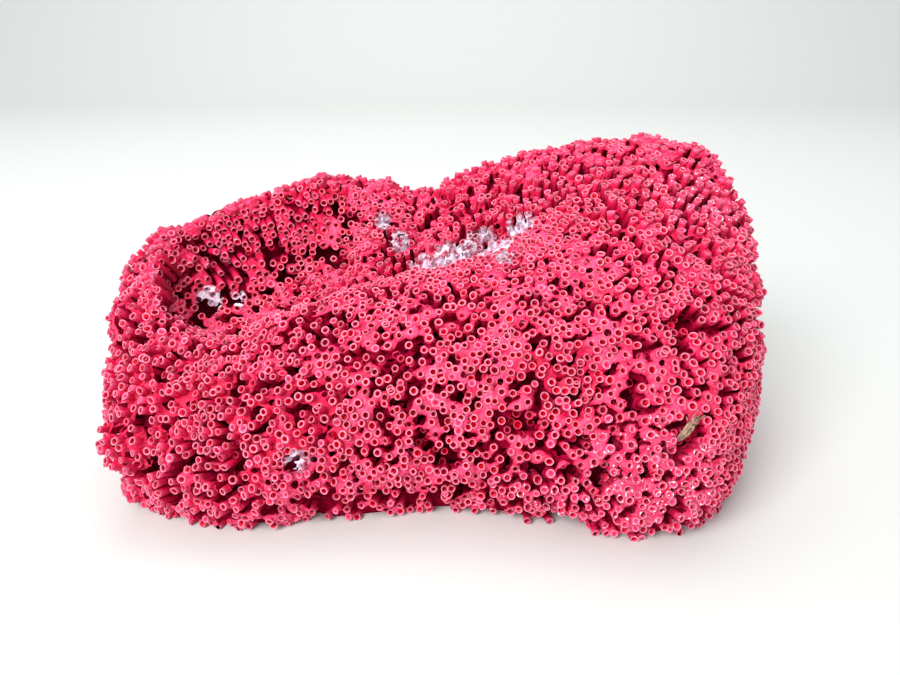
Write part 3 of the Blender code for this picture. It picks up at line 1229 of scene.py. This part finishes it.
@dataclass
class OlderGrowth:
    """The floor between the pipes: platforms and pipes of earlier years, cut flat at the base, painted dark
    as shade.
    """

    weathering: Weathering
    share_of_faces: float = 0.4
    least_depth: float = 7.4
    depth_spread: float = 2.2
    cut_edge: float = 2.6
    cut_height: float = 0.01
    ramp: float = 5.0
    # Depth given to every vertex, which the finish paints as its darkest shade
    painted_shade_depth: float = 6.0

    def build(self, form: bpy.types.Object) -> bpy.types.Object:
        """Sink a copy of the outer form and cut it flat.

        Args:
            form: The outer form.

        Returns:
            The object.
        """
        places, normals, triangles = mesh_arrays(form)
        depth = self.least_depth + self.depth_spread * (0.5 + 0.5 * lumpiness(places, 5.0, 31.0, 3))
        eased = smoothstep(0.0, self.ramp, places[:, 2])
        sunk = places - normals * (self.cut_edge + (depth - self.cut_edge) * eased)[:, None]
        obj = mesh_object("older_growth", sunk, triangles.ravel(), np.full(len(triangles), 3))
        apply_modifier(obj, "DECIMATE", ratio=self.share_of_faces)
        with editing():
            bpy.ops.mesh.bisect(plane_co=(0, 0, 0), plane_no=(0, 0, 1), clear_inner=True, use_fill=True)
        for face in obj.data.polygons:
            face.material_index = int(face.normal.z < -0.99 and face.center.z < self.cut_height * MM)
        places = mesh_arrays(obj)[0] - TO_ORIGIN
        count = len(places)
        # Painted shade: the whole floor takes the darkest colour of the finish
        Surface.of(places, np.full(count, self.painted_shade_depth), np.zeros(count), np.full(count, 0.5),
                   self.weathering).store(obj.data)
        return obj


class Graph:
    """A material's node tree, with the few kinds of node that the finishes here need."""

    def __init__(self, name: str) -> None:
        """Start a material with a plain shader.

        Args:
            name: Name of the material.
        """
        self.material = bpy.data.materials.new(name)
        self.material.use_nodes = True
        self.tree = self.material.node_tree
        self.shader = self.tree.nodes["Principled BSDF"]

    def feed(self, node: bpy.types.Node, inputs: dict) -> None:
        """Fill a node's inputs.

        Args:
            node: The node.
            inputs: By the name or number of each, another node's output or a value.
        """
        for key, value in inputs.items():
            if isinstance(value, Socket):
                self.tree.links.new(value, node.inputs[key])
            else:
                node.inputs[key].default_value = value

    def node(self, kind: str, output: str | int, inputs: dict, **settings: object) -> Socket:
        """Add a node.

        Args:
            kind: Type of the node.
            output: Name or number of the output that is used.
            inputs: What goes into it.
            settings: What is set on it.

        Returns:
            The output.
        """
        node = self.tree.nodes.new("ShaderNode" + kind)
        for name, value in settings.items():
            setattr(node, name, value)
        self.feed(node, inputs)
        return node.outputs[output]

    def attribute(self, name: str) -> Socket:
        """A number stored at each vertex."""
        return self.node("Attribute", "Fac", {}, attribute_name=name)

    def noise(self, scale: float, detail: float = 2.0) -> Socket:
        """Clouds over the object's own space, with so many lumps to the metre."""
        place = self.node("TexCoord", "Object", {})
        return self.node("TexNoise", "Fac", {"Scale": scale, "Detail": detail, "Vector": place})

    def cells(self, scale: float) -> Socket:
        """Distance from the middle of each cell of an uneven honeycomb, seen from above."""
        inputs = {"Scale": scale, "Randomness": 0.7, "Vector": self.node("TexCoord", "Object", {})}
        return self.node("TexVoronoi", "Distance", inputs, voronoi_dimensions="2D")

    def ranged(self, value: Socket, source: tuple, target: tuple = (0.0, 1.0)) -> Socket:
        """A value carried from one range into another and held there."""
        ends = dict(zip(("From Min", "From Max", "To Min", "To Max"), source + target))
        return self.node("MapRange", "Result", {"Value": value, **ends})

    def times(self, a: Socket, b: Socket) -> Socket:
        """The product of two values."""
        return self.node("Math", 0, {0: a, 1: b}, operation="MULTIPLY")

    def mixed(self, factor: Socket, base: Socket, colour: Colour) -> Socket:
        """A colour laid over another as far as the factor says."""
        return self.node("Mix", 2, {"Factor": factor, 6: base, 7: colour}, data_type="RGBA")

    def shaded(self, base: Socket, value: Socket) -> Socket:
        """A colour made lighter or darker by a value."""
        inputs = {"Factor": 1.0, 6: base, 7: value}
        return self.node("Mix", 2, inputs, data_type="RGBA", blend_type="MULTIPLY")

    def ramp(self, value: Socket, stops: tuple) -> Socket:
        """Lay colours along a value.

        Args:
            value: The value.
            stops: The position and the colour of each stop.

        Returns:
            The colour.
        """
        colour = self.node("ValToRGB", "Color", {"Fac": value})
        first, *between, last = stops
        elements = colour.node.color_ramp.elements
        for element, stop in zip(elements, (first, last)):
            element.position, element.color = stop
        for position, tint in between:
            elements.new(position).color = tint
        return colour

    def finish(self, colour: Socket, height: Socket, relief: float, roughness: float,
               gloss: float) -> bpy.types.Material:
        """Lay the colour and a bump on the shader.

        Args:
            colour: The surface colour.
            height: What the bump follows.
            relief: Height of the bump, in metres.
            roughness: The shader's roughness.
            gloss: The shader's specular level.

        Returns:
            The material.
        """
        bump = self.node("Bump", "Normal", {"Strength": 0.6, "Distance": relief, "Height": height})
        self.feed(self.shader, {"Normal": bump, "Base Color": colour, "Roughness": roughness,
                                "Specular IOR Level": gloss})
        return self.material


@dataclass(frozen=True)
class CoralFinish:
    """Chalky red skeleton: rims pale from wear and a painted highlight, red walls and bores that painted
    shade darkens in the recesses, and a lilac crust in places.
    """

    name: str = "coral_skeleton"
    # Colours laid along the depth under the tips. Past the skin they darken as painted shade down the walls
    # and into the recesses; the pale colour at the tips is partly wear and partly a painted highlight.
    rim_and_highlight: Colour = (0.93, 0.33, 0.46, 1.0)
    skin: Colour = (0.92, 0.096, 0.235, 1.0)
    wall: Colour = (0.76, 0.016, 0.086, 1.0)
    shade: Colour = (0.62, 0.0045, 0.060, 1.0)
    deep_shade: Colour = (0.26, 0.0004, 0.022, 1.0)
    # Bores: the pipes' own red, made darker as painted shade of the holes
    bore: Colour = (0.64, 0.0008, 0.028, 1.0)
    crusted: Colour = (0.80, 0.71, 0.84, 1.0)
    bleached: Colour = (0.80, 0.15, 0.30, 1.0)
    # White of small grains, and of painted glints
    fleck_and_glint: Colour = (0.93, 0.86, 0.90, 1.0)
    # Depth in millimetres at which the painted shade is darkest
    full_depth: float = 6.0
    grains: float = 1500.0
    patches: float = 420.0
    # Scale of the noise for the white grains and painted glints
    specks_and_glints: float = 1300.0
    relief: float = 0.25 * MM
    roughness: float = 0.5
    gloss: float = 0.2

    def build(self) -> bpy.types.Material:
        """Make the material, which reads the depth, bore, tone, crust and bleaching of each point, and
        paints shade by the depth.

        Returns:
            The material.
        """
        graph = Graph(self.name)
        grain = graph.noise(self.grains, 3.0)
        patches = graph.noise(self.patches)
        # Painted shade: the colour darkens with the depth under the tips, and the tips get a painted
        # highlight
        depth = graph.ranged(graph.attribute("depth"), (0.0, self.full_depth))
        colour = graph.ramp(depth, ((0.0, self.rim_and_highlight), (0.045, self.skin), (0.18, self.wall),
                                    (0.45, self.shade), (1.0, self.deep_shade)))
        # Painted shade in the bores: their inner lips and floors take the dark red of the holes
        colour = graph.mixed(graph.attribute("inside"), colour, self.bore)
        pale = graph.attribute("pale")
        bleaching = graph.times(pale, graph.ranged(patches, (0.42, 0.62), (0.0, 0.22)))
        colour = graph.mixed(bleaching, colour, self.bleached)
        crusted = graph.attribute("crust")
        # Painted shade round the crusts: the colour darkens towards them; the crust itself is laid over it
        # afterwards
        colour = graph.shaded(colour, graph.ranged(crusted, (0.0, 0.25), (1.0, 0.62)))
        crust = graph.times(graph.ranged(crusted, (0.2, 0.5)), graph.ranged(patches, (0.36, 0.48)))
        crust = graph.times(crust, graph.ranged(depth, (0.02, 0.06), (0.35, 1.0)))
        colour = graph.mixed(crust, colour, self.crusted)
        colour = graph.shaded(colour, graph.ranged(grain, (0.3, 0.7), (0.55, 1.35)))
        colour = graph.shaded(colour, graph.ranged(graph.attribute("tone"), (0.0, 1.0), (0.78, 1.16)))
        # Partly white grains, partly painted glints: white flecks near the tips, most of them in the
        # bleached patches
        specks_and_glints = graph.times(graph.ranged(graph.noise(self.specks_and_glints, 0.0), (0.715, 0.755)),
                             graph.ranged(depth, (0.12, 0.25), (1.0, 0.0)))
        specks_and_glints = graph.times(specks_and_glints, graph.ranged(pale, (0.0, 0.6), (0.15, 1.0)))
        colour = graph.mixed(specks_and_glints, colour, self.fleck_and_glint)
        return graph.finish(colour, grain, self.relief, self.roughness, self.gloss)


@dataclass(frozen=True)
class CutFinish:
    """The base where it was cut: pipes in section, as rings round bores painted dark as shade, with platform
    between.
    """

    name: str = "coral_cut"
    # Painted shade in the hollows of the cut: the bores and the gaps between pipes
    dark: Colour = (0.22, 0.0010, 0.030, 1.0)
    ring: Colour = (0.90, 0.16, 0.28, 1.0)
    platform: Colour = (0.74, 0.030, 0.110, 1.0)
    cells: float = 430.0
    grains: float = 1500.0
    relief: float = 0.25 * MM
    roughness: float = 0.6
    gloss: float = 0.1

    def build(self) -> bpy.types.Material:
        """Make the material, which lies in the plane of the cut.

        Returns:
            The material.
        """
        graph = Graph(self.name)
        # Rings round the bores, with the bores and the gaps painted dark as shade
        colour = graph.ramp(graph.cells(self.cells), (
            (0.20, self.dark), (0.25, self.ring), (0.36, self.ring), (0.41, self.dark), (1.0, self.dark)))
        between = graph.times(graph.ranged(graph.cells(self.cells), (0.37, 0.40)),
                              graph.ranged(graph.noise(160.0), (0.47, 0.50)))
        grain = graph.noise(self.grains, 3.0)
        colour = graph.mixed(between, colour, self.platform)
        colour = graph.shaded(colour, graph.ranged(grain, (0.3, 0.7), (0.6, 1.3)))
        return graph.finish(colour, grain, self.relief, self.roughness, self.gloss)


@dataclass(frozen=True)
class HuskFinish:
    """Dry tan plant husk with darker fibres."""

    name: str = "dry_husk"
    light: Colour = (0.52, 0.34, 0.24, 1.0)
    middle: Colour = (0.32, 0.20, 0.14, 1.0)
    dark: Colour = (0.10, 0.06, 0.05, 1.0)
    fibres: float = 2600.0
    blotches: float = 1100.0
    relief: float = 0.2 * MM
    roughness: float = 0.75
    gloss: float = 0.2

    def build(self) -> bpy.types.Material:
        """Make the material, with streaks and blotches.

        Returns:
            The material.
        """
        graph = Graph(self.name)
        fibres = graph.noise(self.fibres, 3.0)
        stops = ((0.30, self.dark), (0.48, self.middle), (0.62, self.light))
        colour = graph.ramp(graph.noise(self.blotches), stops)
        colour = graph.shaded(colour, graph.ranged(fibres, (0.3, 0.7), (0.6, 1.3)))
        return graph.finish(colour, fibres, self.relief, self.roughness, self.gloss)


@dataclass
class LodgedFragment:
    """A scrap of dry husk caught between the pipes: a ridged flake with a few loose fibres."""

    middle: Vector
    tilt: Triple = (0.3, -1.0, 0.15)
    shift: Triple = (-1.8, -0.3, -0.9)
    radii: Triple = (3.3, 0.7, 1.2)
    ridge: float = 0.30
    ridges: float = 6.0
    fibres: int = 12
    fibre_radius: float = 0.14
    fibre_steps: int = 6
    fibre_step: float = 0.42
    fibre_taper: float = 0.88
    fibre_curl: float = 0.16
    fibre_turn: float = 2.4

    def flake(self) -> bpy.types.Object:
        """Make the flake, ridged along its length and bent.

        Returns:
            The flake's object.
        """
        obj = added(bpy.ops.mesh.primitive_ico_sphere_add, subdivisions=4, radius=1.0)
        for vert in obj.data.vertices:
            x, y, z = vert.co
            swell = 1.0 + self.ridge * math.sin(self.ridges * math.atan2(z, y)) * (1.0 - 0.5 * x * x)
            swell += 0.35 * noise.noise(vert.co * 2.3)
            long, thick, wide = self.radii
            vert.co = (x * long, y * thick * swell + 0.35 * x * x, z * wide * swell)
        return obj

    def fibre(self, index: int, rng: np.random.Generator) -> bpy.types.Object:
        """Make one loose fibre that leaves the flake and curls.

        Args:
            index: Number of the fibre, which turns it round the flake.
            rng: Source of randomness.

        Returns:
            The fibre's object.
        """
        obj = added(bpy.ops.mesh.primitive_circle_add, vertices=6, radius=self.fibre_radius,
                    fill_type="NGON")
        curl = rng.uniform(-self.fibre_curl, self.fibre_curl, 2)
        with editing():
            for step in range(self.fibre_steps):
                shift = (curl[0] * step * 0.4, curl[1] * step * 0.4, self.fibre_step)
                bpy.ops.mesh.extrude_region_move(TRANSFORM_OT_translate={"value": shift})
                bpy.ops.transform.resize(value=(self.fibre_taper,) * 3)
            bpy.ops.mesh.select_all(action="SELECT")
            bpy.ops.mesh.normals_make_consistent(inside=False)
        angle = index * self.fibre_turn
        obj.rotation_euler = (1.1 * math.sin(angle), 1.1 * math.cos(angle) + 0.5, angle)
        obj.location = (2.2 + 1.0 * math.cos(angle), 0.3 * math.sin(angle), 0.7 * math.sin(angle))
        return obj

    def build(self, rng: np.random.Generator) -> bpy.types.Object:
        """Join the flake and its fibres at their place.

        Args:
            rng: Source of randomness.

        Returns:
            The object.
        """
        activate(self.flake(), *(self.fibre(index, rng) for index in range(self.fibres)))
        bpy.ops.object.join()
        obj = bpy.context.active_object
        obj.name = "husk_fragment"
        obj.scale = (MM, MM, MM)
        obj.rotation_euler = self.tilt
        obj.location = self.middle + Vector(self.shift) * MM
        bpy.ops.object.transform_apply(location=True, rotation=True, scale=True)
        bpy.ops.object.shade_smooth()
        return obj


@dataclass
class Studio:
    """A plain pale floor that sweeps up behind, soft light, and the camera.

    The camera's place is given in the growth frame, in millimetres.
    """

    camera_place: Triple = (3.0, -175.0, 118.0)
    camera_pitch: float = 25.8
    lens: float = 27.04
    floor_size: float = 2.4
    floor_place: Triple = (0.0, 0.1, -0.0002)
    floor_colour: Colour = (0.64, 0.65, 0.63, 1.0)
    floor_roughness: float = 0.8
    backdrop_height: float = 1.4
    bend: float = 0.5
    surround: Colour = (0.95, 0.98, 1.0, 1.0)
    surround_strength: float = 0.82

    def floor(self) -> None:
        """A floor whose far edge sweeps up into a backdrop."""
        obj = added(bpy.ops.mesh.primitive_plane_add, size=self.floor_size, location=self.floor_place)
        obj.name = "floor"
        bpy.ops.object.transform_apply(location=True)
        bm = bmesh.new()
        bm.from_mesh(obj.data)
        far = max(vert.co.y for vert in bm.verts)
        corner = [edge for edge in bm.edges if all(abs(vert.co.y - far) < MM for vert in edge.verts)]
        made = bmesh.ops.extrude_edge_only(bm, edges=corner)["geom"]
        raised = [item for item in made if isinstance(item, bmesh.types.BMVert)]
        bmesh.ops.translate(bm, verts=raised, vec=(0.0, 0.0, self.backdrop_height))
        bmesh.ops.bevel(bm, geom=corner, offset=self.bend, segments=16, profile=0.5, affect="EDGES")
        bm.to_mesh(obj.data)
        bm.free()
        obj.data.shade_smooth()
        paper = Graph("pale_paper")
        paper.feed(paper.shader, {"Base Color": self.floor_colour, "Roughness": self.floor_roughness})
        obj.data.materials.append(paper.material)

    @staticmethod
    def lamp(name: str, place: Triple, aim: Triple, size: float, power: float) -> None:
        """Hang a square soft lamp.

        Args:
            name: Name of the lamp.
            place: Where it hangs, in metres.
            aim: The point that it faces.
            size: Length of its side.
            power: Its power, in watts.
        """
        light = bpy.data.lights.new(name, "AREA")
        light.size = size
        light.energy = power
        obj = linked(name, light)
        obj.location = place
        obj.rotation_euler = (Vector(aim) - Vector(place)).to_track_quat("-Z", "Y").to_euler()

    def light(self) -> None:
        """A bright surround, two large soft lamps above, and a third lamp that lights the backdrop."""
        world = bpy.data.worlds.new("surround")
        world.use_nodes = True
        background = world.node_tree.nodes["Background"]
        background.inputs["Color"].default_value = self.surround
        background.inputs["Strength"].default_value = self.surround_strength
        bpy.context.scene.world = world
        self.lamp("key", (-0.46, -0.56, 0.62), (-0.02, 0.0, 0.03), 0.42, 9.0)
        self.lamp("top", (0.0, 0.25, 0.9), (0.0, 0.0, 0.03), 0.6, 1.4)
        self.lamp("backdrop", (0.0, 0.45, 0.95), (0.0, 1.1, 0.35), 0.8, 4.5)

    def camera(self) -> None:
        """The camera, looking along +Y and down."""
        data = bpy.data.cameras.new("camera")
        data.lens = self.lens
        data.sensor_width = 36.0
        data.clip_start = 0.01
        obj = linked("camera", data)
        obj.location = Vector((np.array(self.camera_place) + TO_ORIGIN) * MM)
        obj.rotation_euler = (math.radians(90.0 - self.camera_pitch), 0.0, 0.0)
        bpy.context.scene.camera = obj

    def build(self) -> None:
        """Make the floor, the lights and the camera, and set how the picture is developed."""
        self.floor()
        self.light()
        self.camera()
        bpy.context.scene.view_settings.view_transform = "Standard"


def triangle_count(obj: bpy.types.Object) -> int:
    """How many triangles the object's faces make."""
    return sum(len(face.vertices) - 2 for face in obj.data.polygons)


def main() -> None:
    """Build the colony, the fragment and the studio."""
    logging.basicConfig(level=logging.INFO, format="%(name)s: %(message)s")
    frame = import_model()
    rng = np.random.default_rng(SEED)
    form = GrowthForm().build()
    samples = SurfaceSamples.scatter(form, PipeField.samples, PipeField.lowest, rng)
    weathering = Weathering()
    field_of_pipes = PipeField(weathering)
    pipes = field_of_pipes.grow(samples, rng)
    log.info("%d pipes, %d of them lidded", len(pipes.tip), (pipes.mouth == Mouth.LIDDED).sum())
    coral = CoralFinish().build()
    pieces = PipeStand(pipes, weathering).build()
    pieces.append(Domes(pipes, weathering).build(rng))
    pieces += Platform("upper_platform", field_of_pipes, pipes).build(form)
    deeper = Platform("lower_platform", field_of_pipes, pipes, drop=field_of_pipes.lower_drop, grain=2.0,
                      reach=1.38, fillet=0.2, thickness=0.7, pieces=1).build(form)
    deeper.append(OlderGrowth(weathering).build(form))
    bpy.data.objects.remove(form)
    shadowed = CoralFinish(name="coral_shadowed", gloss=0.02).build()
    for piece in pieces + deeper:
        piece.data.materials.append(shadowed if piece in deeper else coral)
    deeper[-1].data.materials.append(CutFinish().build())
    for piece in pieces + deeper:
        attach(piece, BODY)
        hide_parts(COLONY_NODE)
        log.info("%s: %d triangles", piece.name, triangle_count(piece))
    log.info("%d triangles in all", sum(triangle_count(piece) for piece in pieces + deeper))
    low, high = (Vector(corner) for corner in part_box(FRAGMENT_NODE))
    husk = LodgedFragment((low + high) / 2.0).build(rng)
    husk.data.materials.append(HuskFinish().build())
    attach(husk, BODY)
    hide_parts(FRAGMENT_NODE)
    log.info("%s: %d triangles", husk.name, triangle_count(husk))
    Studio().build()
    log.info("frame nodes: %s", sorted(frame["nodes"]))


if __name__ == "__main__":
    main()
